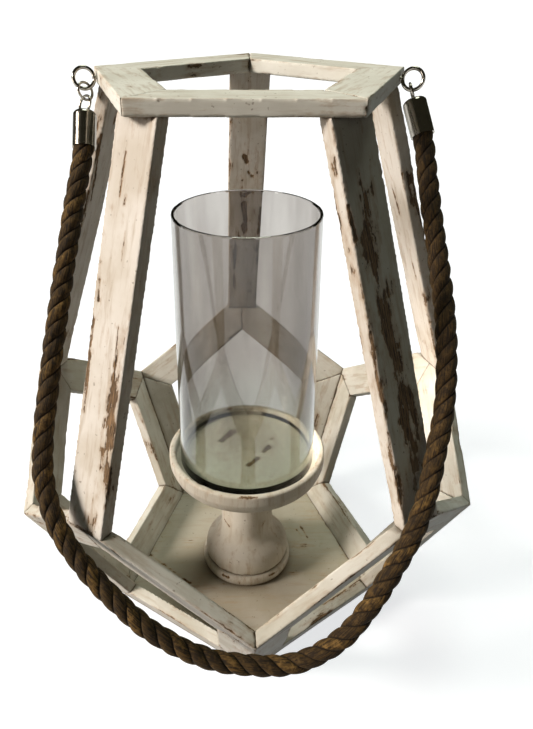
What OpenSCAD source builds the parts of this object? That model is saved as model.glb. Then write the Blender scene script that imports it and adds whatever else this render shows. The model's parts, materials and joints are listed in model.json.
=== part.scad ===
/* [Lower frame] */
// Radius of the belt's corners from the lantern's axis
belt_r = 196; // [160:1:240]
// Radius of the bottom corners
base_r = 124; // [100:1:140]
// Height of the belt's lower corners
belt_low_z = 125; // [110:1:150]
/* [Boards] */
// Thickness of every board
board_t = 10; // [8:0.5:12]
// Width of the lower frame's boards and of the legs
board_w = 32; // [26:1:36]
/* [Top ring] */
// Height of the top ring's upper face
total_h = 450; // [420:1:500]
// Radius of the top ring's outer corners
ring_r = 114.5; // [105:0.5:125]
// Width of the top ring's boards
ring_w = 30; // [24:1:34]
// Turn of the hand-set top ring against the belt, in degrees
ring_turn = -3; // [-6:0.5:6]
/* [Candle stand] */
// Thickness of the floor panel
floor_t = 9; // [6:0.5:12]
// Radius of the turned foot disc
foot_r = 42; // [38:1:46]
// Radius of the column's neck
neck_r = 24; // [18:1:26]
// Outer radius of the candle dish
dish_r = 69; // [66:0.5:74]
// Height of the candle dish's rim
dish_top_z = 144; // [130:1:160]
/* [Glass] */
// Outer radius of the glass at its foot
glass_foot_r = 59; // [56:0.5:60]
// Outer radius of the glass at its rim
glass_rim_r = 55.5; // [50:0.5:57]
// Height of the glass rim above the floor the lantern stands on
glass_top_z = 358; // [300:1:400]
// Wall of the glass
glass_wall = 2.5; // [2:0.5:4]
/* [Rope handle] */
// Diameter of the rope
rope_d = 14; // [12:0.5:14]
// Outer diameter of the metal ferrules
ferrule_d = 16; // [15.6:0.1:17]
// Length of a ferrule
ferrule_l = 25; // [22:1:28]

/* [Hidden] */
$fn = 64;
// The five sides, by the azimuth of the apex of each lower frame
SIDES = ["back", "left", "front_left", "front_right", "right"];
SIDE_AZ = [90, 162, 234, 306, 18];
PIECES = ["base_rail", "strut_left", "strut_right", "apex_rail_left", "apex_rail_right"];
RAILS = ["top_rail_back_left", "top_rail_front_left", "top_rail_front", "top_rail_front_right",
         "top_rail_back_right"];

// Pentagon constants
half = 36;
corner_half = 54;

// Lower frame: each side is one flat pentagon that leans outwards by tilt
tilt = atan((belt_r - base_r) * cos(half) / belt_low_z);
base_in = base_r * cos(half);
apex_z = belt_low_z + belt_r * (1 - cos(half)) / tan(tilt);
side_outline = [
    [base_r * sin(half), 0],
    [belt_r * sin(half), belt_low_z / cos(tilt)],
    [0, apex_z / cos(tilt)],
    [-belt_r * sin(half), belt_low_z / cos(tilt)],
    [-base_r * sin(half), 0]
];
// The apex is cut level where it is as wide as a leg
edge_fall = (apex_z - belt_low_z) / (belt_r * sin(half));
foot_z = apex_z - board_w / 2 * edge_fall;
foot_face_r = belt_r - (apex_z - foot_z) * tan(tilt);

// Top ring and legs
ring_under_z = total_h - board_t;
leg_top_r = ring_r - board_w / 2 / tan(corner_half);
ring_in_r = ring_r - ring_w / cos(half);

// Candle stand
foot_h = 12;
bell_z = floor_t + foot_h;
bell_r = foot_r - 3;
neck_z = floor_t + 53;
dish_h = 14;
dish_rim = 6;
recess = 9;
dish_floor_z = dish_top_z - recess;
dish_under_z = dish_top_z - dish_h;
tenon_r = 10;
tenon_l = 9;
underbowl = 10;
screw_ring_r = 22;
screw_r = 2;
screw_head_r = 4;
screw_l = 28;
screw_count = 3;

// Glass
glass_base = 6;

// Screw eyes, jump ring and ferrule loops
eye_wire_r = 1.3;
eye_r = 6.9;
eye_lean = 20;
eye_stem = 9;
eye_from_corner = 20;
shank_l = 16;
// Room round a shank, and past its end, so that the eye can turn in the wood
shank_play = 0.2;
eye_z = total_h - board_t / 2;
loop_r = 5.8;
loop_wire_r = 0.9;
loop_bite = 1.4;
eye_gap = eye_wire_r + loop_wire_r + 2;
loop_gap = 2 * loop_wire_r + 0.6;
jump_turn = 40;
loop_turn_left = -50;
loop_turn_right = 35;
eye_entry = [ring_r * cos(18) - eye_from_corner * sin(18),
             ring_r * sin(18) - eye_from_corner * cos(18)];
eye_x = eye_entry[0] + eye_stem * cos(18);
eye_y = eye_entry[1] - eye_stem * sin(18);
// Lowest point of each eye's wire, where the links hang at rest
hang_x = eye_x - eye_r * sin(eye_lean) * sin(18);
hang_y = eye_y - eye_r * sin(eye_lean) * cos(18);
hang_z = eye_z - eye_r * cos(eye_lean);
hang_left = turned([-hang_x, hang_y, hang_z]);
hang_right = turned([hang_x, hang_y, hang_z]);
// Distance along the chain from there to each ferrule's closed end
chain_right = 2 * loop_r - eye_gap + loop_wire_r - loop_bite;
chain_left = chain_right + 2 * loop_r - loop_gap;
ferrule_wall = 0.95;
rope_inset = 18;

// Rope route, from inside the left ferrule to inside the right one
ROUTE = [
    [-110.4, 3.9, 419.6], [-110.8, -6.4, 404.8], [-117, -31, 374], [-122, -56, 344], [-127, -80, 314],
    [-132, -105, 280], [-136, -125, 250], [-136, -140, 227], [-128, -157, 206], [-113, -172, 187],
    [-92, -186, 168], [-67, -198, 149], [-34, -205, 131], [0, -207, 124], [28, -206, 125],
    [54, -202, 141], [72, -194, 161], [85, -185, 180], [98, -174, 199], [109, -160, 220],
    [117, -142, 246], [124, -122, 272], [126, -97, 309], [124, -66, 345], [121, -37, 379],
    [118.1, -11.5, 412.5], [114.1, -1.9, 427.2]
];
ROPE_SIDES = 10;

// Nails
nail_r = 1;
nail_head_r = 1.8;
nail_set = 1.5;

PAINT = [0.87, 0.83, 0.75];
METAL = [0.45, 0.45, 0.44];

// A point turned about the axis with the top ring
function turned(p) = [
    p[0] * cos(ring_turn) - p[1] * sin(ring_turn),
    p[0] * sin(ring_turn) + p[1] * cos(ring_turn),
    p[2]
];
function polar(r, a) = [r * cos(a), r * sin(a)];
function unit(v) = v / norm(v);
function left_of(v) = [-v[1], v[0]];

// Corner i of an anticlockwise outline, moved inwards by w on both its edges
function inset_corner(pts, i, w) =
    let (n = len(pts),
         before = left_of(unit(pts[i] - pts[(i + n - 1) % n])),
         after = left_of(unit(pts[(i + 1) % n] - pts[i])))
    pts[i] + w * (before + after) / (1 + before * after);

// Points of an arc in a turned profile
function arc(c, r, a0, a1, n = 6) = [for (i = [0:n]) c + polar(r, a0 + (a1 - a0) * i / n)];

// Lays a drawing on one side's outer plane: X anticlockwise, Y up the slope, Z outwards
module on_side(az) {
    rotate([0, 0, az]) translate([base_in, 0, 0]) rotate([90 + tilt, 0, 90]) children();
}

// The slice of the lantern that belongs to one side, below the feet of the legs
module side_wedge(az) {
    rotate([0, 0, az])
        linear_extrude(foot_z)
            polygon([[0, 0], polar(2 * belt_r, -half), polar(2 * belt_r, half)]);
}

// A mitred board of a side's frame, between outline corners i and j
module frame_board(az, i, j) {
    outer_i = side_outline[i];
    outer_j = side_outline[j];
    inner_i = inset_corner(side_outline, i, board_w);
    inner_j = inset_corner(side_outline, j, board_w);
    // Corners on the base line run on down the mitre, to be cut level
    foot_i = outer_i[1] == 0 ? outer_i + 0.4 * (outer_i - inner_i) : outer_i;
    foot_j = outer_j[1] == 0 ? outer_j + 0.4 * (outer_j - inner_j) : outer_j;
    color(PAINT) intersection() {
        on_side(az)
            translate([0, 0, -board_t])
                linear_extrude(board_t)
                    polygon([foot_i, foot_j, inner_j, inner_i]);
        side_wedge(az);
    }
}

// The five boards of one side's frame; right is anticlockwise seen from above
module frame_piece(az, piece) {
    if (piece == "base_rail") frame_board(az, 4, 0);
    if (piece == "strut_right") frame_board(az, 0, 1);
    if (piece == "apex_rail_right") frame_board(az, 1, 2);
    if (piece == "apex_rail_left") frame_board(az, 2, 3);
    if (piece == "strut_left") frame_board(az, 3, 4);
}

// A mitred board of the top ring, clockwise from the corner at az
module top_rail(az) {
    color(PAINT) difference() {
        translate([0, 0, ring_under_z])
            linear_extrude(board_t)
                polygon([polar(ring_in_r, az), polar(ring_r, az), polar(ring_r, az + 72),
                         polar(ring_in_r, az + 72)]);
        shank_hole();
        mirror([1, 0, 0]) shank_hole();
    }
}

// Blind hole that the right eye's shank turns in, in the ring's own frame
module shank_hole() {
    at_eye()
        translate([-eye_r - shank_l - shank_play, 0, 0])
            rotate([0, 90, 0])
                cylinder(h = shank_l + shank_play, r = eye_wire_r + shank_play);
}

// Places a leg's own frame: X outwards, Z up the leg, origin on the outer face at the foot
module on_leg(az) {
    foot = concat(polar(foot_face_r, az), foot_z);
    top = concat(polar(leg_top_r, az + ring_turn), ring_under_z);
    run = top - foot;
    facing = az + ring_turn / 2;
    out = run * concat(polar(1, facing), 0);
    across = run * concat(polar(1, facing + 90), 0);
    translate(foot)
        rotate([0, 0, facing])
            rotate([atan2(-across, run[2]), 0, 0])
                rotate([0, asin(out / norm(run)), 0])
                    children();
}

module leg(az) {
    spare = 30;
    color(PAINT) intersection() {
        on_leg(az)
            translate([-board_t, -board_w / 2, -spare])
                cube([board_t, board_w, total_h]);
        translate([-belt_r, -belt_r, foot_z])
            cube([2 * belt_r, 2 * belt_r, ring_under_z - foot_z]);
    }
}

module floor_panel() {
    color(PAINT) difference() {
        linear_extrude(floor_t)
            polygon([for (az = SIDE_AZ) polar(base_r, az + half)]);
        for (az = SIDE_AZ)
            on_side(az)
                translate([-belt_r, -belt_r, -board_t])
                    cube([2 * belt_r, 2 * belt_r, 3 * board_t]);
        screw_places() screw_hole(floor_t);
        screw_places() cylinder(h = screw_head_r - screw_r, r1 = screw_head_r, r2 = screw_r);
    }
}

module screw_places() {
    for (i = [0:screw_count - 1])
        rotate([0, 0, 30 + 360 / screw_count * i]) translate([screw_ring_r, 0, 0]) children();
}

module screw_hole(h) {
    translate([0, 0, -1]) cylinder(h = h + 2, r = screw_r);
}

module pedestal_screws() {
    color(METAL) screw_places() {
        cylinder(h = screw_head_r - screw_r, r1 = screw_head_r, r2 = screw_r);
        cylinder(h = screw_l, r = screw_r);
    }
}

module pedestal_foot() {
    round_r = 4;
    color(PAINT) difference() {
        translate([0, 0, floor_t])
            rotate_extrude()
                polygon(concat(
                    [[0, 0]],
                    arc([foot_r - round_r, round_r], round_r, -90, 0),
                    arc([foot_r - round_r, foot_h - round_r], round_r, 0, 90),
                    [[0, foot_h]]));
        translate([0, 0, floor_t]) screw_places() screw_hole(foot_h);
    }
}

// The turned column: a bell that narrows to a neck, then a straight shaft with a tenon
module pedestal_column() {
    bell_side_z = bell_z + 9;
    flare_r = 18;
    color(PAINT) difference() {
        rotate_extrude()
            polygon(concat(
                [[0, bell_z], [bell_r - 1, bell_z], [bell_r, bell_z + 1.5]],
                arc([bell_r - 15, bell_side_z], 15, 0, 42),
                arc([neck_r + flare_r, neck_z - 4], flare_r, 222, 180),
                [[neck_r, dish_under_z - underbowl]],
                [[tenon_r, dish_under_z - underbowl], [tenon_r, dish_under_z - underbowl + tenon_l],
                 [0, dish_under_z - underbowl + tenon_l]]));
        screw_places() translate([0, 0, bell_z - 1]) cylinder(h = screw_l - bell_z + 1, r = screw_r);
    }
}

// A shallow turned cup with a flat rim, a recess for the glass and a rounded underside
module candle_dish() {
    edge = 1.5;
    socket_gap = 0.1;
    foot_of_bowl = dish_under_z - underbowl;
    recess_r = dish_r - dish_rim;
    color(PAINT) rotate_extrude()
        polygon(concat(
            [[tenon_r + socket_gap, foot_of_bowl], [neck_r + 4, foot_of_bowl]],
            arc([dish_r - 14, dish_under_z + 3], 13, -75, -15),
            [[dish_r, dish_under_z + 4]],
            arc([dish_r - edge, dish_top_z - edge], edge, 0, 90, 3),
            arc([recess_r + edge, dish_top_z - edge], edge, 90, 180, 3),
            [[recess_r, dish_floor_z], [0, dish_floor_z],
             [0, foot_of_bowl + tenon_l + socket_gap],
             [tenon_r + socket_gap, foot_of_bowl + tenon_l + socket_gap]]));
}

module glass_chimney() {
    lip = glass_wall / 2;
    foot_round = 2;
    color([0.8, 0.85, 0.85, 0.35]) rotate_extrude()
        polygon(concat(
            [[0, dish_floor_z]],
            arc([glass_foot_r - foot_round, dish_floor_z + foot_round], foot_round, -90, 0, 3),
            arc([glass_rim_r - lip, glass_top_z - lip], lip, 0, 180, 4),
            [[glass_foot_r - glass_wall, dish_floor_z + glass_base + 3],
             [glass_foot_r - glass_wall - 4, dish_floor_z + glass_base], [0, dish_floor_z + glass_base]]));
}

module ring(r, wire) {
    rotate_extrude() translate([r, 0]) circle(r = wire, $fn = 24);
}

// Ring in the vertical plane through X, turned about Z
module upright_ring(r, wire, turn) {
    rotate([0, 0, turn]) rotate([90, 0, 0]) ring(r, wire);
}

// A screw eye in the outer edge of the top ring, beside the corner at 18 degrees
module at_eye() {
    translate([eye_x, eye_y, eye_z]) rotate([0, 0, -18]) rotate([-eye_lean, 0, 0]) children();
}

module screw_eye() {
    color(METAL)
        at_eye() {
            upright_ring(eye_r, eye_wire_r, 0);
            translate([-eye_r - shank_l, 0, 0])
                rotate([0, 90, 0])
                    cylinder(h = shank_l, r = eye_wire_r);
        }
}

module screw_eye_right() {
    rotate([0, 0, ring_turn]) screw_eye();
}

module screw_eye_left() {
    rotate([0, 0, ring_turn]) mirror([1, 0, 0]) screw_eye();
}

// Places children with Z along the line from a to b and the origin at a
module along(a, b) {
    d = b - a;
    translate(a) rotate([0, acos(d[2] / norm(d)), atan2(d[1], d[0])]) children();
}

module jump_ring() {
    color(METAL)
        along(hang_left, ROUTE[1])
            translate([0, 0, loop_r - eye_gap])
                upright_ring(loop_r, loop_wire_r, jump_turn);
}

// A crimped cap with a wire loop; the rope goes up into its open end
module ferrule(hang, mouth, start, turn) {
    shoulder = 3;
    outer = ferrule_d / 2;
    color(METAL) along(hang, mouth) {
        translate([0, 0, start]) rotate_extrude()
            polygon(concat(
                [[0, 0]],
                arc([outer - shoulder, shoulder], shoulder, -90, 0),
                [[outer, ferrule_l], [outer - ferrule_wall, ferrule_l],
                 [outer - ferrule_wall, ferrule_l - rope_inset],
                 [0, ferrule_l - rope_inset]]));
        translate([0, 0, start - loop_r - loop_wire_r + loop_bite])
            upright_ring(loop_r, loop_wire_r, turn);
    }
}

module ferrule_left() {
    ferrule(hang_left, ROUTE[1], chain_left, loop_turn_left);
}

module ferrule_right() {
    ferrule(hang_right, ROUTE[len(ROUTE) - 2], chain_right, loop_turn_right);
}

// Direction of the rope at each point of its route
function heading(i) =
    let (n = len(ROUTE), a = ROUTE[max(i - 1, 0)], b = ROUTE[min(i + 1, n - 1)])
    unit(b - a);
// The rope's own ring of points at point i, in a plane across its heading
function rope_ring(i) =
    let (h = heading(i), side = unit(cross(h, [0, 1, 0.3])), other = cross(h, side))
    [for (k = [0:ROPE_SIDES - 1])
        ROUTE[i] + rope_d / 2 * (side * cos(360 / ROPE_SIDES * k) + other * sin(360 / ROPE_SIDES * k))];

module rope_handle() {
    last = len(ROUTE) - 1;
    points = [for (i = [0:last]) each rope_ring(i)];
    walls = [for (i = [0:last - 1]) for (k = [0:ROPE_SIDES - 1])
        let (a = i * ROPE_SIDES + k, b = i * ROPE_SIDES + (k + 1) % ROPE_SIDES)
        [a, b, b + ROPE_SIDES, a + ROPE_SIDES]];
    ends = [[for (k = [0:ROPE_SIDES - 1]) ROPE_SIDES - 1 - k],
            [for (k = [0:ROPE_SIDES - 1]) last * ROPE_SIDES + k]];
    color([0.35, 0.26, 0.14]) polyhedron(points, concat(walls, ends));
}

// A nail along Z, with its head at the top
module nail(l) {
    color(METAL) {
        translate([0, 0, -l]) cylinder(h = l, r = nail_r);
        translate([0, 0, -1]) cylinder(h = 1, r = nail_head_r);
    }
}

// Two nails down through each ring corner into the leg under it
module ring_nails() {
    for (az = SIDE_AZ)
        for (side = [-1, 1])
            rotate([0, 0, az + ring_turn])
                translate([leg_top_r - board_t * 0.8, side * board_w / 4, total_h - nail_set])
                    rotate([0, atan((leg_top_r - foot_face_r) / (ring_under_z - foot_z)), 0])
                        nail(34);
}

// Two nails from each leg's outer face, down and inwards into the apex under its foot
module foot_nails() {
    above = 12;
    lean = 14;
    leg_face_r = foot_face_r - above * (foot_face_r - leg_top_r) / (ring_under_z - foot_z);
    for (az = SIDE_AZ)
        for (side = [-1, 1])
            rotate([0, 0, az])
                translate([leg_face_r - nail_set, side * board_w / 5, foot_z + above])
                    rotate([0, lean, 0])
                        nail(26);
}

// Two nails through each base rail into the edge of the floor panel
module floor_nails() {
    for (az = SIDE_AZ)
        for (side = [-1, 1])
            rotate([0, 0, az])
                translate([base_in - nail_set + floor_t / 2 * tan(tilt), side * 35, floor_t / 2])
                    rotate([0, 90, 0])
                        nail(24);
}

rotate([0, 0, ring_turn]) top_rail(90);  // top_rail_back_left
rotate([0, 0, ring_turn]) top_rail(162);  // top_rail_front_left
rotate([0, 0, ring_turn]) top_rail(234);  // top_rail_front
rotate([0, 0, ring_turn]) top_rail(306);  // top_rail_front_right
rotate([0, 0, ring_turn]) top_rail(18);  // top_rail_back_right
for (i = [0:len(SIDES) - 1]) {
    leg(SIDE_AZ[i]);
    for (piece = PIECES)
        frame_piece(SIDE_AZ[i], piece);
}
floor_panel();
pedestal_foot();
pedestal_column();
candle_dish();
pedestal_screws();
glass_chimney();
screw_eye_left();
screw_eye_right();
jump_ring();
ferrule_left();
ferrule_right();
rope_handle();
ring_nails();
foot_nails();
floor_nails();
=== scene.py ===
import itertools
import json
import math

import bmesh
import bpy
import numpy as np
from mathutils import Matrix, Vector


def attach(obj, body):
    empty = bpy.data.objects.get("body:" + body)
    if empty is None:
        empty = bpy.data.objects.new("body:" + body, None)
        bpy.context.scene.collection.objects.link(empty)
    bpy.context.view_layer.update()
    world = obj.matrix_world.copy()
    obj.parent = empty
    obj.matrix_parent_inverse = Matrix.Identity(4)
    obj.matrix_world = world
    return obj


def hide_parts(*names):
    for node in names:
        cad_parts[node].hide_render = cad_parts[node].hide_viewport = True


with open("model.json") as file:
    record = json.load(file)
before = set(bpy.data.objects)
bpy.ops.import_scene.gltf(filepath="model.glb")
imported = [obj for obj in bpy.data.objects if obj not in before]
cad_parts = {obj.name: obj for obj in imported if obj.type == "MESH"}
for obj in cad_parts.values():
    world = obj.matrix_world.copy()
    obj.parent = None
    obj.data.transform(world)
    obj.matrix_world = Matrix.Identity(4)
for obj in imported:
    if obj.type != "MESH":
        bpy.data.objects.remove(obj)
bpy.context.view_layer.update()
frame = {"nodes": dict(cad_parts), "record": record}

MM = 0.001
SCENE = bpy.context.scene

# Camera: where it stands, where it looks, and its lens
CAMERA_AT = (-0.0152, -0.4841, 0.5149)
CAMERA_PITCH = 31.81
CAMERA_YAW = 1.68
CAMERA_LENS = 33.61
CAMERA_SHIFT = (0.0285, 0.0199)

# Rope: the route of part.scad in millimetres, ending inside the ferrules
ROUTE = [
    (-110.4, 3.9, 419.6), (-110.8, -6.4, 404.8), (-117, -31, 374), (-122, -56, 344),
    (-127, -80, 314), (-132, -105, 280), (-136, -125, 250), (-136, -140, 227),
    (-128, -157, 206), (-113, -172, 187), (-92, -186, 168), (-67, -198, 149),
    (-34, -205, 131), (0, -207, 124), (28, -206, 125), (54, -202, 141), (72, -194, 161),
    (85, -185, 180), (98, -174, 199), (109, -160, 220), (117, -142, 246), (124, -122, 272),
    (126, -97, 309), (124, -66, 345), (121, -37, 379), (118.1, -11.5, 412.5),
    (114.1, -1.9, 427.2),
]
ROPE_D = 14 * MM
STRANDS = 3
STRAND_R = 5.2 * MM
STRAND_OFFSET = 1.7 * MM
LAY = 36 * MM
FIBRE_TURN = 1.25
YARNS = 9
YARN_DEPTH = 0.24 * MM
ROUGH_DEPTH = 0.24 * MM
LUMP_DEPTH = 0.22 * MM
GROOVE_DEPTH = 0.6 * MM
ROPE_STEP = 0.9 * MM
ROPE_SIDES = 84


# Painted wood
WOOD_VOXEL = 1.0 * MM
WEAR = {
    # slot: (loss at an edge, spread of the patches)
    "ring_wood": (0.62, 1.4),
    "leg_wood": (0.80, 1.9),
    "frame_wood": (0.84, 1.6),
    "floor_wood": (0.90, 1.5),
    "turned_wood": (0.50, 1.3),
}
# Places where the paint is rubbed through: from, to, width in mm, and how far it has gone
SCUFFS = {
    "candle_dish": [
        ((-6, -67, 144), (6, -68, 144), 1.5, 1.0),
        ((-22, 19, 135), (-13, 31, 135), 3.6, 1.5),
        ((1, -18, 135), (10, -9, 135), 2.6, 1.5),
        ((15, 1, 135), (20, 8, 135), 2.4, 1.5),
        ((23, 19, 135), (24, 20, 135), 2.0, 1.4),
    ],
    "floor_panel": [
        ((57, 39, 9), (63, 21, 9), 1.5, 1.0),
        ((53, 32, 9), (57, 24, 9), 1.4, 0.9),
        ((92, 24, 9), (96, 4, 9), 2.0, 0.6),
        ((-96, 2, 9), (-55, -35, 9), 1.6, 0.8),
        ((-110, -36, 9), (0, -115.6, 9), 2.2, 0.85),
        ((0, -115.6, 9), (110, -36, 9), 1.8, 0.6),
    ],
    "pedestal_foot": [
        ((-24, -35, 18), (-19, -38, 18), 1.8, 1.0),
        ((20, -37, 18), (28, -32, 18), 1.8, 1.0),
    ],
    "pedestal_column": [
        ((-21, -12, 67), (-17, -17, 64), 2.2, 1.0),
        ((14, -20, 66), (16, -18, 70), 2.2, 1.0),
    ],
    "front_left_apex_rail_right": [((-92, -164, 187), (-89, -163, 179), 2.0, 1.1)],
    "front_left_strut_right": [((-26, -128, 41), (-21, -111, 4), 1.6, 0.7)],
    "left_strut_right": [
        ((-114, -33, 19), (-109, -30, 10), 1.5, 0.9),
        ((-131, -38, 50), (-117, -61, 62), 1.5, 0.8),
    ],
    "leg_back": [
        ((1, 118, 368), (3, 120, 363), 2.5, 0.95),
        ((5, 123, 353), (8, 124, 349), 2.5, 0.95),
        ((2, 131, 330), (8, 130, 333), 2.2, 0.9),
        ((1, 135, 320), (3, 141, 304), 2.2, 0.85),
        ((11, 137, 315), (12, 138, 310), 1.6, 0.85),
        ((1, 143, 298), (3, 145, 293), 2.8, 1.0),
        ((4, 152, 272), (5, 153, 269), 2.0, 0.9),
        ((-8, 154, 269), (-9, 170, 225), 1.5, 0.9),
        ((17, 135, 318), (16, 145, 290), 1.5, 1.0),
    ],
    "leg_front_left": [
        ((-72, -83, 420), (-77, -90, 397), 1.8, 1.05),
        ((-73, -93, 398), (-74, -94, 393), 1.4, 0.8),
        ((-74, -100, 379), (-77, -105, 363), 1.2, 0.85),
        ((-91, -96, 359), (-94, -104, 337), 1.4, 0.8),
        ((-98, -106, 325), (-108, -124, 269), 2.2, 1.0),
        ((-81, -119, 325), (-86, -134, 284), 3.4, 0.78),
        ((-87, -133, 284), (-93, -148, 241), 4.4, 0.8),
        ((-95, -126, 286), (-97, -133, 268), 1.6, 0.7),
        ((-118, -150, 194), (-106, -159, 195), 2.0, 0.9),
    ],
    "leg_front_right": [
        ((60, -96, 412), (64, -100, 396), 2.5, 0.9),
        ((65, -98, 399), (70, -106, 372), 7.0, 1.0),
        ((70, -106, 372), (76, -113, 346), 4.5, 0.95),
        ((79, -113, 342), (86, -120, 315), 7.5, 1.0),
        ((87, -121, 312), (95, -130, 278), 8.0, 1.0),
        ((96, -130, 278), (101, -140, 246), 6.0, 0.85),
        ((101, -141, 242), (96, -155, 217), 5.0, 0.75),
        ((70, -104, 385), (100, -136, 258), 11.0, 0.62),
        ((96, -132, 268), (110, -152, 205), 8.0, 0.60),
        ((54, -107, 395), (59, -111, 377), 1.6, 1.0),
    ],
    "leg_left": [((-103, 22, 407), (-118, 32, 357), 1.6, 1.0)],
    "leg_right": [
        ((106, 39, 384), (112, 35, 370), 1.7, 0.8),
        ((113, 38, 365), (122, 37, 342), 2.0, 0.8),
        ((133, 35, 313), (142, 38, 286), 1.8, 0.8),
    ],
}
EDGE_REACH = 1.4 * MM
SHARP = math.radians(28)
# The most that paint stands proud of a board, and of the dish that the glass stands in
PROUD = 0.1 * MM
CLEAR_OF_GLASS = -0.15 * MM
# Hash constants of value_noise
HASH_X, HASH_Y, HASH_Z, HASH_SEED, HASH_MIX = 73856093, 19349663, 83492791, 2654435761, 1274126177
HASH_TOP = 0xFFFFFFFF


# ---------------------------------------------------------------- helpers

def add_object(name, mesh):
    piece = bpy.data.objects.new(name, mesh)
    SCENE.collection.objects.link(piece)
    return piece


def mesh_from(name, verts, faces, smooth=True):
    mesh = bpy.data.meshes.new(name)
    mesh.from_pydata([tuple(v) for v in verts], [], faces)
    mesh.validate()
    mesh.update()
    mesh.polygons.foreach_set("use_smooth", [smooth] * len(mesh.polygons))
    return mesh


def positions(mesh):
    found = np.zeros(len(mesh.vertices) * 3)
    mesh.vertices.foreach_get("co", found)
    return found.reshape(-1, 3)


def write_float(mesh, name, values):
    mesh.attributes.new(name, "FLOAT", "POINT").data.foreach_set(
        "value", np.asarray(values, float))


def write_vector(mesh, name, values):
    mesh.attributes.new(name, "FLOAT_VECTOR", "POINT").data.foreach_set(
        "vector", np.asarray(values, float).ravel())


def value_noise(points, seed):
    """Smooth noise from -1 to 1, with one lattice point per unit."""
    cell = np.floor(points).astype(np.int64)
    t = points - cell
    t = t * t * (3 - 2 * t)
    total = np.zeros(len(points))
    for corner in itertools.product((0, 1), repeat=3):
        c = cell + corner
        h = (c[:, 0] * HASH_X ^ c[:, 1] * HASH_Y ^ c[:, 2] * HASH_Z
             ^ seed * HASH_SEED) & HASH_TOP
        h = ((h ^ (h >> 13)) * HASH_MIX) & HASH_TOP
        h ^= h >> 16
        total += np.prod(np.where(corner, t, 1 - t), axis=1) * h
    return total / HASH_TOP * 2 - 1


def ramp(x, low, high):
    t = np.clip((x - low) / (high - low), 0, 1)
    return t * t * (3 - 2 * t)


# ---------------------------------------------------------------- shader nodes

class Shader:
    """Short names for making a node material."""

    def __init__(self, name):
        self.material = bpy.data.materials.new(name)
        self.material.use_nodes = True
        self.tree = self.material.node_tree
        self.bsdf = self.tree.nodes["Principled BSDF"]

    def node(self, kind, **values):
        made = self.tree.nodes.new(kind)
        for key, value in values.items():
            setattr(made, key, value)
        return made

    def link(self, source, target):
        self.tree.links.new(source, target)

    def plug(self, value, socket):
        if isinstance(value, bpy.types.NodeSocket):
            self.link(value, socket)
        elif value is not None:
            socket.default_value = value

    def attribute(self, name, output="Fac"):
        return self.node("ShaderNodeAttribute", attribute_name=name).outputs[output]

    def coordinates(self):
        return self.node("ShaderNodeTexCoord").outputs["Object"]

    def scaled(self, vector, scale):
        made = self.node("ShaderNodeVectorMath", operation="MULTIPLY")
        self.link(vector, made.inputs[0])
        made.inputs[1].default_value = scale
        return made.outputs[0]

    def noise(self, vector, scale, detail=3.0, rough=0.55, distort=0.0):
        made = self.node("ShaderNodeTexNoise")
        self.link(vector, made.inputs["Vector"])
        made.inputs["Scale"].default_value = scale
        made.inputs["Detail"].default_value = detail
        made.inputs["Roughness"].default_value = rough
        made.inputs["Distortion"].default_value = distort
        return made.outputs["Fac"]

    def math(self, operation, a, b=None, clamp=False):
        made = self.node("ShaderNodeMath", operation=operation, use_clamp=clamp)
        self.plug(a, made.inputs[0])
        self.plug(b, made.inputs[1])
        return made.outputs[0]

    def step(self, value, low, high, to_low=0.0, to_high=1.0):
        made = self.node("ShaderNodeMapRange", interpolation_type="SMOOTHSTEP")
        self.plug(value, made.inputs["Value"])
        for key, number in (("From Min", low), ("From Max", high),
                            ("To Min", to_low), ("To Max", to_high)):
            made.inputs[key].default_value = number
        return made.outputs["Result"]

    def mix(self, factor, a, b, blend="MIX"):
        made = self.node("ShaderNodeMix", data_type="RGBA", blend_type=blend)
        self.plug(factor, made.inputs[0])
        self.plug(a if isinstance(a, bpy.types.NodeSocket) else (*a, 1), made.inputs[6])
        self.plug(b if isinstance(b, bpy.types.NodeSocket) else (*b, 1), made.inputs[7])
        return made.outputs[2]

    def bump(self, height, strength, distance, before=None):
        made = self.node("ShaderNodeBump")
        made.inputs["Strength"].default_value = strength
        made.inputs["Distance"].default_value = distance
        self.link(height, made.inputs["Height"])
        if before is not None:
            self.link(before, made.inputs["Normal"])
        return made.outputs["Normal"]


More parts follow.
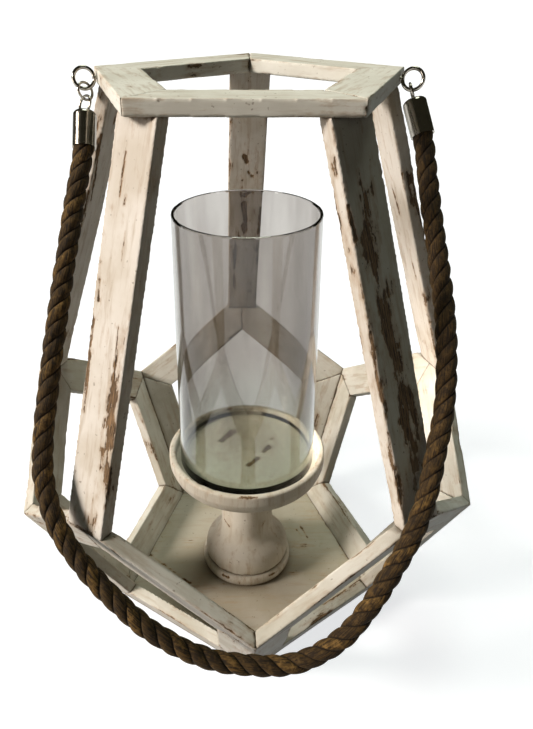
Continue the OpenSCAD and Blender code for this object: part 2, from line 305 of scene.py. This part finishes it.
def whitewash(name, paint, grime, grime_share):
    """Chalky white paint over brown wood. Reads each piece's loss and grain attributes."""
    s = Shader(name)
    loss = s.attribute("loss")
    grain = s.attribute("grain", "Vector")
    along = s.scaled(grain, (40, 520, 520))
    brush = s.noise(along, 1.0, 4.0, 0.6)
    cloud = s.noise(grain, 22.0, 4.0, 0.6)
    streaks = s.noise(s.scaled(grain, (26, 190, 190)), 1.0, 5.0, 0.6)
    fibres = s.noise(s.scaled(grain, (90, 1500, 1500)), 1.0, 3.0, 0.6)
    fine = s.noise(s.scaled(grain, (0.4, 1, 1)), 1000.0, 3.0, 0.6)
    specks = s.noise(grain, 330.0, 2.0, 0.5)

    # Ragged, streaky outline of the bare patches
    ragged = s.math("ADD", loss, s.math("MULTIPLY", s.math("SUBTRACT", fine, 0.5), 1.0))
    ragged = s.math("ADD", ragged, s.math("MULTIPLY", s.math("SUBTRACT", brush, 0.5), 1.9))
    bare = s.step(ragged, -0.06, 0.10)
    thin = s.step(ragged, -0.75, 0.0)

    painted = s.mix(s.step(cloud, 0.36, 0.68, 0.0, grime_share), paint, grime)
    painted = s.mix(s.step(streaks, 0.48, 0.70, 0.0, 0.55), painted, (0.43, 0.34, 0.24))
    painted = s.mix(s.step(specks, 0.69, 0.75, 0.0, 0.55), painted, (0.18, 0.125, 0.08))
    wood = s.mix(s.step(fibres, 0.30, 0.70), (0.030, 0.018, 0.009), (0.30, 0.185, 0.095))
    wood = s.mix(s.step(fine, 0.60, 0.72, 0.0, 0.5), wood, (0.50, 0.42, 0.32))
    colour = s.mix(s.math("MULTIPLY", thin, 0.50), painted, (0.42, 0.29, 0.18))
    colour = s.mix(bare, colour, wood)

    # Painted shade: colour darkened towards dark brown in the corners and seams, where ambient
    # occlusion finds them
    occlusion = s.node("ShaderNodeAmbientOcclusion", samples=6)
    occlusion.inputs["Distance"].default_value = 0.014
    occlusion_shade = s.step(occlusion.outputs["AO"], 0.32, 0.88, 0.85, 0.0)
    colour = s.mix(occlusion_shade, colour, (0.16, 0.125, 0.085))
    s.link(colour, s.bsdf.inputs["Base Color"])

    s.link(s.step(bare, 0, 1, 0.62, 0.85), s.bsdf.inputs["Roughness"])
    s.bsdf.inputs["Specular IOR Level"].default_value = 0.35
    height = s.math("SUBTRACT", s.math("MULTIPLY", brush, 0.35), s.math("MULTIPLY", bare, 0.8))
    height = s.math("ADD", height, s.math("MULTIPLY", fine, 0.12))
    s.link(s.bump(height, 0.7, 0.0006), s.bsdf.inputs["Normal"])
    return s.material


def metal(name, colour, dark, rough, worn_rough):
    s = Shader(name)
    place = s.coordinates()
    cloud = s.noise(place, 260.0, 4.0, 0.6)
    fine = s.noise(s.scaled(place, (1, 1, 0.12)), 2600.0, 2.0, 0.5)
    s.link(s.mix(s.step(cloud, 0.48, 0.78, 0.0, 0.7), colour, dark), s.bsdf.inputs["Base Color"])
    s.bsdf.inputs["Metallic"].default_value = 1.0
    s.link(s.step(s.math("ADD", s.math("MULTIPLY", cloud, 0.7), s.math("MULTIPLY", fine, 0.3)),
                  0.3, 0.75, rough, worn_rough), s.bsdf.inputs["Roughness"])
    s.link(s.bump(fine, 0.06, 0.00003), s.bsdf.inputs["Normal"])
    return s.material


def jute(name):
    """Twisted plant fibre. Reads the strand's own coordinates and how deep a point lies."""
    s = Shader(name)
    fibre = s.attribute("fibre", "Vector")
    depth = s.attribute("depth")
    hairs = s.noise(s.scaled(fibre, (110, 1300, 1300)), 1.0, 4.0, 0.65, 0.4)
    tufts = s.noise(fibre, 190.0, 4.0, 0.65)
    colour = s.mix(s.step(hairs, 0.36, 0.66), (0.011, 0.006, 0.0015), (0.150, 0.084, 0.022))
    colour = s.mix(s.step(tufts, 0.52, 0.68, 0.0, 0.60), colour, (0.26, 0.150, 0.045))
    colour = s.mix(s.step(tufts, 0.48, 0.34, 0.0, 0.8), colour, (0.016, 0.008, 0.003))
    # Painted shade: the deepest points, in the grooves between strands, are darkened almost to
    # black
    colour = s.mix(s.step(depth, 0.90, 0.72, 0.0, 0.95), colour, (0.004, 0.002, 0.001))
    # Painted shade: the run up to the right ferrule is darkened, for the shade it lies in
    along = s.node("ShaderNodeSeparateXYZ")
    s.link(fibre, along.inputs[0])
    colour = s.mix(s.step(along.outputs["X"], 0.60, 0.68, 0.0, 0.55), colour, (0.012, 0.006, 0.002))
    s.link(colour, s.bsdf.inputs["Base Color"])
    s.bsdf.inputs["Roughness"].default_value = 0.82
    s.bsdf.inputs["Specular IOR Level"].default_value = 0.25
    s.bsdf.inputs["Sheen Weight"].default_value = 0.06
    s.bsdf.inputs["Sheen Roughness"].default_value = 0.5
    s.bsdf.inputs["Sheen Tint"].default_value = (0.9, 0.7, 0.4, 1)
    s.link(s.bump(hairs, 0.9, 0.0006), s.bsdf.inputs["Normal"])
    return s.material


def clear_glass(name):
    s = Shader(name)
    place = s.coordinates()
    smear = s.noise(s.scaled(place, (1, 1, 0.35)), 34.0, 4.0, 0.6)
    dust = s.noise(place, 1400.0, 2.0, 0.5)
    marks = s.math("MULTIPLY", s.step(smear, 0.50, 0.80), s.step(dust, 0.35, 0.75))
    smoke = s.noise(s.scaled(place, (1, 1, 0.22)), 24.0, 3.0, 0.55)
    smoky = s.mix(s.step(smoke, 0.36, 0.64), (0.44, 0.405, 0.385), (0.60, 0.565, 0.54))
    height = s.node("ShaderNodeSeparateXYZ")
    s.link(place, height.inputs[0])
    s.link(s.mix(s.step(height.outputs["Z"], 0.148, 0.215), (0.60, 0.615, 0.585), smoky),
           s.bsdf.inputs["Base Color"])
    s.bsdf.inputs["Transmission Weight"].default_value = 1.0
    s.bsdf.inputs["IOR"].default_value = 1.47
    s.link(s.step(marks, 0.0, 1.0, 0.0, 0.10), s.bsdf.inputs["Roughness"])
    s.link(s.bump(smear, 0.03, 0.0001), s.bsdf.inputs["Normal"])
    body = s.node("ShaderNodeVolumeAbsorption")
    body.inputs["Color"].default_value = (0.42, 0.60, 0.52, 1)
    body.inputs["Density"].default_value = 26.0
    s.link(body.outputs[0], s.tree.nodes["Material Output"].inputs["Volume"])
    return s.material


def plain_floor(name):
    s = Shader(name)
    cloud = s.noise(s.coordinates(), 2.0, 3.0, 0.5)
    s.link(s.mix(cloud, (0.40, 0.42, 0.45), (0.42, 0.44, 0.47)), s.bsdf.inputs["Base Color"])
    s.bsdf.inputs["Roughness"].default_value = 0.9
    s.bsdf.inputs["Emission Color"].default_value = (0.97, 0.985, 1, 1)
    s.bsdf.inputs["Emission Strength"].default_value = 0.76
    return s.material


# ---------------------------------------------------------------- camera and light

def make_camera():
    data = bpy.data.cameras.new("camera")
    data.sensor_width = 36
    data.lens = CAMERA_LENS
    data.shift_x, data.shift_y = CAMERA_SHIFT
    data.clip_start, data.clip_end = 0.02, 60
    camera = bpy.data.objects.new("camera", data)
    camera.location = CAMERA_AT
    camera.rotation_euler = (math.radians(90 - CAMERA_PITCH), 0, math.radians(-CAMERA_YAW))
    SCENE.collection.objects.link(camera)
    bpy.context.scene.camera = camera


def aim(light, place, target=(0, 0, 0.2)):
    light.location = place
    light.rotation_euler = (Vector(target) - Vector(place)).to_track_quat("-Z", "Y").to_euler()
    SCENE.collection.objects.link(light)


def sun(name, azimuth, elevation, strength, softness, colour):
    data = bpy.data.lights.new(name, "SUN")
    data.energy = strength
    data.angle = math.radians(softness)
    data.color = colour
    a, e = math.radians(azimuth), math.radians(elevation)
    aim(bpy.data.objects.new(name, data),
        (3 * math.cos(a) * math.cos(e), 3 * math.sin(a) * math.cos(e), 0.2 + 3 * math.sin(e)))


def reflected_strip(name, place, size, power, colour):
    """A light that shows only in polished metal and glass."""
    data = bpy.data.lights.new(name, "AREA")
    data.shape = "RECTANGLE"
    data.size, data.size_y = size
    data.energy = power
    data.color = colour
    light = bpy.data.objects.new(name, data)
    light.visible_diffuse = False
    aim(light, place)


def make_light():
    sun("key", 194, 30, 3.8, 15, (1.0, 0.91, 0.82))
    sun("low_left", 203, 0, 1.2, 22, (1.0, 0.86, 0.77))
    sun("top", 80, 72, 1.0, 25, (0.90, 1.0, 0.86))
    reflected_strip("strip_left", (-1.0, -0.75, 0.55), (0.14, 0.9), 2.5, (1.0, 0.97, 0.93))
    reflected_strip("strip_right", (0.95, -0.8, 0.65), (0.08, 0.8), 0.8, (0.95, 0.98, 1.0))
    world = bpy.data.worlds.new("studio")
    SCENE.world = world
    world.use_nodes = True
    nodes, links = world.node_tree.nodes, world.node_tree.links
    shown = nodes.new("ShaderNodeBackground")
    shown.inputs["Color"].default_value = (1, 1, 1, 1)
    shown.inputs["Strength"].default_value = 1.0
    fill = nodes["Background"]
    fill.inputs["Color"].default_value = (1.0, 0.93, 0.60, 1)
    fill.inputs["Strength"].default_value = 0.03
    path = nodes.new("ShaderNodeLightPath")
    blend = nodes.new("ShaderNodeMixShader")
    links.new(path.outputs["Is Camera Ray"], blend.inputs[0])
    links.new(fill.outputs[0], blend.inputs[1])
    links.new(shown.outputs[0], blend.inputs[2])
    links.new(blend.outputs[0], nodes["World Output"].inputs["Surface"])
    SCENE.view_settings.view_transform = "Standard"


def make_floor():
    bm = bmesh.new()
    bmesh.ops.create_circle(bm, cap_ends=True, radius=30, segments=96)
    mesh = bpy.data.meshes.new("studio_floor")
    bm.to_mesh(mesh)
    bm.free()
    floor = add_object("studio_floor", mesh)
    floor.location.z = -0.0004
    floor.visible_diffuse = False
    mesh.materials.append(plain_floor("studio_floor"))


# ---------------------------------------------------------------- rope

def smooth_route():
    """A Catmull-Rom curve through the route, in even steps."""
    knots = np.array(ROUTE) * MM
    padded = np.vstack([2 * knots[0] - knots[1], knots, 2 * knots[-1] - knots[-2]])
    dense = []
    for i in range(len(knots) - 1):
        a, b, c, d = padded[i:i + 4]
        for t in np.arange(0, 1, 0.02):
            dense.append(0.5 * (2 * b + (c - a) * t + (2 * a - 5 * b + 4 * c - d) * t ** 2
                                + (3 * b - a - 3 * c + d) * t ** 3))
    dense.append(knots[-1])
    dense = np.array(dense)
    run = np.concatenate([[0], np.cumsum(np.linalg.norm(np.diff(dense, axis=0), axis=1))])
    places = np.linspace(0, run[-1], int(run[-1] / ROPE_STEP) + 1)
    return np.stack([np.interp(places, run, dense[:, k]) for k in range(3)], axis=1), run[-1]


def frames_along(path):
    """Two directions across the path at each point, turned as little as can be."""
    ahead = np.gradient(path, axis=0)
    ahead /= np.linalg.norm(ahead, axis=1)[:, None]
    side = np.cross(ahead[0], (0, 0, 1))
    sides = []
    for direction in ahead:
        side = side - direction * (side @ direction)
        side /= np.linalg.norm(side)
        sides.append(side)
    sides = np.array(sides)
    return sides, np.cross(ahead, sides)


def make_rope(material):
    """One closed skin round three twisted strands, with the yarns of each strand on it."""
    path, length = smooth_route()
    across, up = frames_along(path)
    count = len(path)
    run = np.linspace(0, length, count)
    turn = 2 * math.pi * run / LAY
    phi = np.linspace(0, 2 * math.pi, ROPE_SIDES, endpoint=False)
    sector = 2 * math.pi / STRANDS
    strand = np.round(phi / sector)
    delta = phi - strand * sector
    rho = (STRAND_OFFSET * np.cos(delta)
           + np.sqrt(STRAND_R ** 2 - (STRAND_OFFSET * np.sin(delta)) ** 2))
    alpha = np.arctan2(rho * np.sin(delta), rho * np.cos(delta) - STRAND_OFFSET)
    groove = np.exp(-((sector / 2 - np.abs(delta)) / 0.13) ** 2)

    # Fibres lie against the strands' turn, close to the rope's own direction
    lean = alpha[None, :] + FIBRE_TURN * turn[:, None]
    own = (strand % STRANDS)[None, :] * 0.7
    fibre = np.stack([np.broadcast_to(run[:, None] + own, lean.shape),
                      STRAND_R * np.cos(lean), STRAND_R * np.sin(lean)], axis=2)
    rough = value_noise(fibre.reshape(-1, 3) / (0.006, 0.0016, 0.0016), 9).reshape(count, -1)
    lumps = value_noise(fibre.reshape(-1, 3) / (0.014, 0.005, 0.005), 4).reshape(count, -1)
    skin = (rho[None, :] + YARN_DEPTH * (np.abs(np.cos(lean * YARNS / 2)) - 0.7)
            + ROUGH_DEPTH * rough + LUMP_DEPTH * lumps - GROOVE_DEPTH * groove[None, :])
    angle = phi[None, :] + turn[:, None]
    ring = (path[:, None] + skin[..., None] * (
        across[:, None] * np.cos(angle)[..., None] + up[:, None] * np.sin(angle)[..., None]))

    faces = [(i * ROPE_SIDES + k, i * ROPE_SIDES + (k + 1) % ROPE_SIDES,
              (i + 1) * ROPE_SIDES + (k + 1) % ROPE_SIDES, (i + 1) * ROPE_SIDES + k)
             for i in range(count - 1) for k in range(ROPE_SIDES)]
    faces.append(tuple(reversed(range(ROPE_SIDES))))
    faces.append(tuple((count - 1) * ROPE_SIDES + k for k in range(ROPE_SIDES)))
    mesh = mesh_from("jute_rope", ring.reshape(-1, 3), faces)
    write_vector(mesh, "fibre", fibre.reshape(-1, 3))
    write_float(mesh, "depth", (skin / (ROPE_D / 2)).ravel())
    mesh.materials.append(material)
    rope = add_object("jute_rope", mesh)
    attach(rope, "handle")
    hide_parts("rope_handle")
    return rope, path, length


# ---------------------------------------------------------------- painted wood

def sharp_edges(mesh):
    bm = bmesh.new()
    bm.from_mesh(mesh)
    bmesh.ops.remove_doubles(bm, verts=bm.verts, dist=1e-6)
    found = [(tuple(e.verts[0].co), tuple(e.verts[1].co)) for e in bm.edges
             if len(e.link_faces) == 2 and e.calc_face_angle(0) > SHARP]
    bm.free()
    return np.array(found).reshape(-1, 2, 3)


def distance_to_edges(points, edges):
    nearest = np.full(len(points), 1.0)
    for a, b in edges:
        run = b - a
        t = np.clip((points - a) @ run / (run @ run), 0, 1)
        nearest = np.minimum(nearest, np.linalg.norm(points - a - t[:, None] * run, axis=1))
    return nearest


def scuffed(points, node):
    """How far the paint is rubbed through by the marks of SCUFFS, from 0 to about 1."""
    most = np.zeros(len(points))
    for a, b, width, share in SCUFFS.get(node, []):
        apart = distance_to_edges(points, [(np.array(a) * MM, np.array(b) * MM)])
        most = np.maximum(most, share * np.exp(-(apart / (width * MM)) ** 2))
    return most


def grain_axes(mesh, slot):
    """Rows: along the grain, across it, and through the board."""
    if slot == "turned_wood":
        return np.array([(0, 0, 1), (1, 0, 0), (0, 1, 0)], float)
    if slot == "floor_wood":
        return np.eye(3)
    spread = positions(mesh)
    _, _, axes = np.linalg.svd(spread - spread.mean(0), full_matrices=False)
    return axes


def remeshed(source, voxel):
    """A copy of a CAD mesh in even faces, with its edges softened."""
    carrier = add_object("carrier", source.copy())
    remesh = carrier.modifiers.new("even", "REMESH")
    remesh.mode = "VOXEL"
    remesh.voxel_size = voxel
    smooth = carrier.modifiers.new("soften", "SMOOTH")
    smooth.factor = 0.5
    smooth.iterations = 1
    made = bpy.data.meshes.new_from_object(
        carrier.evaluated_get(bpy.context.evaluated_depsgraph_get()))
    bpy.data.objects.remove(carrier)
    return made


def make_wood(node, slot, seed, material, body="frame"):
    source = frame["nodes"][node].data
    mesh = remeshed(source, WOOD_VOXEL)
    points = positions(mesh)
    low, high = points.min(0), points.max(0)
    axes = grain_axes(source, slot)
    local = (points - (low + high) / 2) @ axes.T
    edge = distance_to_edges(points, sharp_edges(source))
    at_edge, spread = WEAR[slot]
    streak = value_noise(local / (0.050, 0.008, 0.008), seed)
    patch = value_noise(local / (0.015, 0.0045, 0.0045), seed + 500)
    speck = value_noise(local / (0.004, 0.0026, 0.0026), seed + 900)
    pattern = 0.42 * streak + 0.36 * patch + 0.22 * speck
    rub = np.exp(-edge / EDGE_REACH)
    loss = np.clip(at_edge * rub + spread * pattern - 1, -1.3, 1)
    loss = np.clip(loss + 1.35 * scuffed(points, node), -1.3, 1)

    normals = np.zeros(len(points) * 3)
    mesh.vertices.foreach_get("normal", normals)
    normals = normals.reshape(-1, 3)
    wave = value_noise(local / (0.028, 0.016, 0.016), seed + 70)
    sink = 0.18 * MM * wave - 0.35 * MM * ramp(loss, -0.08, 0.15)
    sink -= 0.5 * MM * ramp(edge, 2.2 * MM, 0.3 * MM) * ramp(pattern, 0.0, 0.5)
    proud = CLEAR_OF_GLASS if node == "candle_dish" else PROUD
    mesh.vertices.foreach_set("co", (points + normals * np.minimum(sink, proud)[:, None]).ravel())
    mesh.polygons.foreach_set("use_smooth", [True] * len(mesh.polygons))
    write_float(mesh, "loss", loss)
    write_vector(mesh, "grain", local + np.array([seed * 0.37, seed * 0.21, 0]))
    mesh.materials.clear()
    mesh.materials.append(material)
    mesh.update()
    piece = add_object(node + "_wood", mesh)
    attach(piece, body)
    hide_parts(node)


def wood_nodes():
    """Each painted CAD node with its slot, from the record."""
    slots = {}
    for row in frame["record"]["subparts"]:
        if row["material_slot"] in WEAR:
            slots[row["node"]] = row["material_slot"]
    return slots


# ---------------------------------------------------------------- glass and hardware

def dress(names, material):
    """Gives CAD nodes their material, and shades them smooth."""
    for name in names:
        holder = frame["nodes"][name]
        holder.data.materials.clear()
        holder.data.materials.append(material)
        holder.data.polygons.foreach_set("use_smooth", [True] * len(holder.data.polygons))


# ---------------------------------------------------------------- build

make_camera()
rope, rope_path, rope_length = make_rope(jute("jute"))

PAINTS = {
    # Painted light: the ring's paint is lighter than the legs' and frames', for the light falling
    # on its top
    "ring_wood": whitewash("paint_ring_lightened_for_light", (0.84, 0.84, 0.77), (0.60, 0.58, 0.50), 0.5),
    "leg_wood": whitewash("paint_legs", (0.75, 0.715, 0.66), (0.56, 0.50, 0.41), 0.7),
    "frame_wood": whitewash("paint_frames", (0.70, 0.68, 0.62), (0.50, 0.47, 0.385), 0.8),
    # Painted shade: the floor's paint and mottling are darker than the frames', standing in for the
    # shade inside the lantern
    "floor_wood": whitewash("paint_floor_darkened_for_shade", (0.50, 0.465, 0.385), (0.42, 0.375, 0.285), 0.9),
    "turned_wood": whitewash("paint_turned", (0.66, 0.62, 0.545), (0.52, 0.47, 0.385), 0.7),
}
for seed, (node, slot) in enumerate(sorted(wood_nodes().items())):
    make_wood(node, slot, seed + 1, PAINTS[slot])

frame["nodes"]["glass_chimney"].visible_shadow = False
dress(["glass_chimney"], clear_glass("lamp_glass"))
dress(["screw_eye_left", "screw_eye_right", "jump_ring", "ferrule_left", "ferrule_right"],
      metal("nickel", (0.40, 0.37, 0.32), (0.16, 0.14, 0.11), 0.12, 0.24))
dress(["pedestal_screws", "ring_nails", "foot_nails", "floor_nails"],
      metal("steel", (0.55, 0.54, 0.52), (0.25, 0.22, 0.19), 0.3, 0.5))

make_light()
make_floor()
